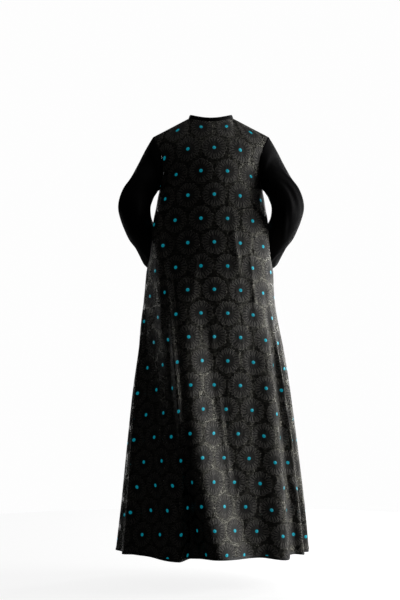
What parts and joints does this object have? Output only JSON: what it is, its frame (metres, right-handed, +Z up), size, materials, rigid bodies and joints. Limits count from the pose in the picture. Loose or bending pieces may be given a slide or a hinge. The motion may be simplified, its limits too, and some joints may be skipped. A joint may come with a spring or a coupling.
{
  "type": "abaya cloak, worn",
  "caption": "Full-length A-line robe of sheer flowered cloth over a plain lining, with plain sleeves, open neck, hem and cuffs, in its worn hollow form.",
  "frame": {"origin": "nape level on the centre line of the neck opening, where the wearer's neck and shoulders hold the robe up", "axes": "+Z up along the robe's length, -Y the front, +X the wearer's left"},
  "size_m": [0.6342, 0.5018, 1.4378],
  "materials": {
    "flowered_organza": "sheer dark grey organza with clipped black daisies and turquoise centres",
    "black_crepe": "matt black crepe",
    "black_lining": "plain black lining"
  },
  "bodies": {
    "root": {"back_panel": "flowered_organza", "left_front": "flowered_organza", "right_front": "flowered_organza", "left_sleeve": "black_crepe", "right_sleeve": "black_crepe", "neck_band": "black_crepe", "lining_back": "black_lining", "lining_left_front": "black_lining", "lining_right_front": "black_lining"}
  },
  "joints": []
}
